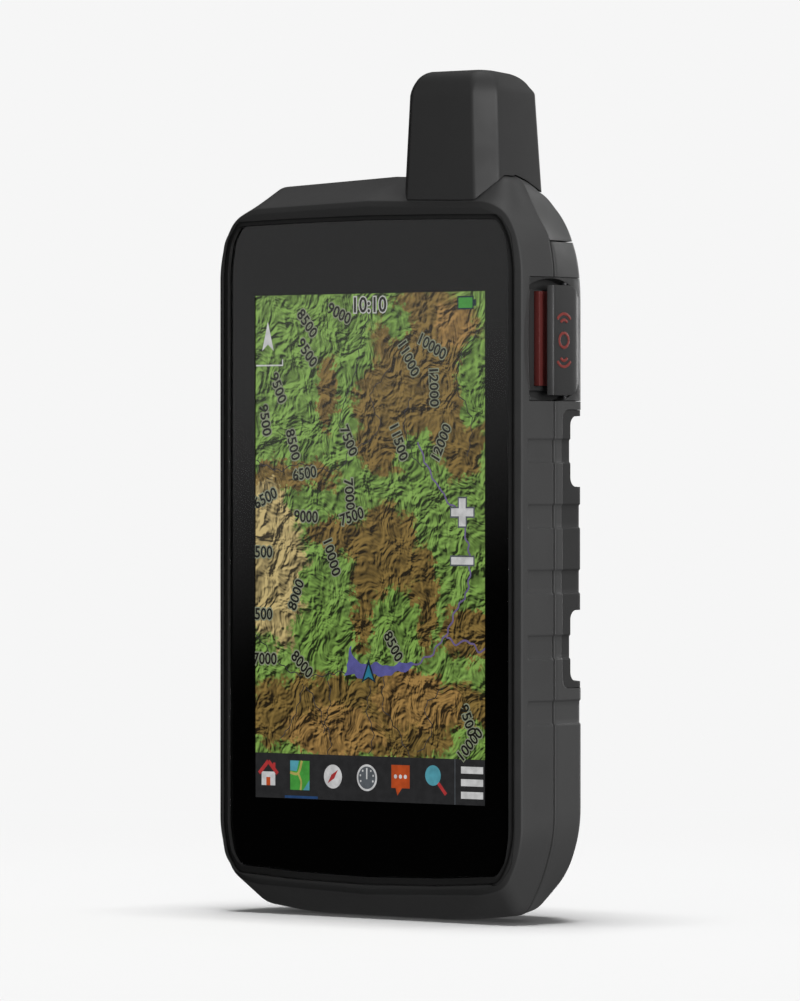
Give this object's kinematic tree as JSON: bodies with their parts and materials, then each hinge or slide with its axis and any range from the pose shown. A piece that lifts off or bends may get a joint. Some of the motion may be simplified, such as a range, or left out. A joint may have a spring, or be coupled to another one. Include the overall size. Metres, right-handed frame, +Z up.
{
  "type": "handheld gps unit",
  "caption": "Rugged handheld satellite navigator: bevelled case, tall colour map screen, stubby antenna, side emergency button under a hinged cap, sliding battery door.",
  "frame": {"origin": "middle of the flat bottom that the unit stands on", "axes": "+Z up the case to the antenna, +Y from the display glass to the back, +X to the right seen from the display"},
  "size_m": [0.0911, 0.0326, 0.183],
  "materials": {
    "shell": "fine matte grain, dark grey",
    "rubber": "moulded matte",
    "glass": "polished cover glass with a dark border",
    "display": "colour map display",
    "steel": "bright stainless",
    "aluminium": "milled",
    "board": "green solder mask",
    "ceramic": "fired ceramic",
    "brass": "turned",
    "battery": "dark shrink wrap over metal cells",
    "red": "dull red silicone",
    "plastic": "satin black"
  },
  "bodies": {
    "case": {"front_housing": "shell", "lens_gasket": "rubber", "cover_glass": "glass", "lcd_panel": "display", "lcd_tray": "steel", "chassis_plate": "aluminium", "main_board": "board", "rf_shield_can": "steel", "cpu_shield_can": "steel", "card_socket": "steel", "memory_card": "plastic", "gnss_antenna": "ceramic", "speaker": "plastic", "case_screw_1": "steel", "case_screw_2": "steel", "case_screw_3": "steel", "case_screw_4": "steel", "case_screw_5": "steel", "case_screw_6": "steel", "case_seal": "rubber", "satellite_antenna": "ceramic", "antenna_cover": "shell", "antenna_seal": "rubber", "rear_housing": "shell", "usb_port": "steel", "antenna_jack": "brass", "battery_pack": "battery", "battery_contacts": "brass", "door_insert": "brass", "sos_bezel": "plastic", "sos_cap_pin": "steel", "sos_switch": "steel", "power_switch": "steel"},
    "sos_cap": {"sos_cap": "plastic", "sos_cap_seal": "red"},
    "sos_button": {"sos_button": "red"},
    "power_key": {"power_key": "rubber"},
    "battery_door": {"battery_door": "shell", "door_seal": "rubber", "side_pad_right": "rubber", "side_pad_left": "rubber"},
    "d_ring_screw": {"d_ring_screw": "steel"},
    "d_ring": {"d_ring": "steel"},
    "usb_cap": {"usb_cap": "rubber"},
    "jack_cap": {"jack_cap": "rubber"}
  },
  "joints": [
    {"name": "sos_cap_hinge", "type": "hinge", "parent": "case", "child": "sos_cap", "pos_m": [0.0436, -0.00055, 0.12475], "axis": [0, 0, 1], "range_deg": [0, 100]},
    {"name": "sos_button_press", "type": "slide", "parent": "case", "child": "sos_button", "axis": [-1, 0, 0], "range_m": [0, 0.0006], "stiffness_N_per_m": 400},
    {"name": "power_key_press", "type": "slide", "parent": "case", "child": "power_key", "axis": [1, 0, 0], "range_m": [0, 0.0005], "stiffness_N_per_m": 400},
    {"name": "battery_door_slide", "type": "slide", "parent": "case", "child": "battery_door", "axis": [0, 1, 0], "range_m": [0, 0.045]},
    {"name": "d_ring_screw_turn", "type": "hinge", "parent": "battery_door", "child": "d_ring_screw", "pos_m": [0, 0.0155, 0.0285], "axis": [0, 1, 0], "continuous": true},
    {"name": "d_ring_fold", "type": "hinge", "parent": "d_ring_screw", "child": "d_ring", "pos_m": [0, 0.0158, 0.0285], "axis": [1, 0, 0], "range_deg": [0, 95]},
    {"name": "usb_cap_hinge", "type": "hinge", "parent": "case", "child": "usb_cap", "pos_m": [-0.016, 0.01125, 0.14898], "axis": [-1, 0, 0], "range_deg": [0, 100]},
    {"name": "jack_cap_hinge", "type": "hinge", "parent": "case", "child": "jack_cap", "pos_m": [0.004, 0.01125, 0.14898], "axis": [-1, 0, 0], "range_deg": [0, 100]}
  ]
}
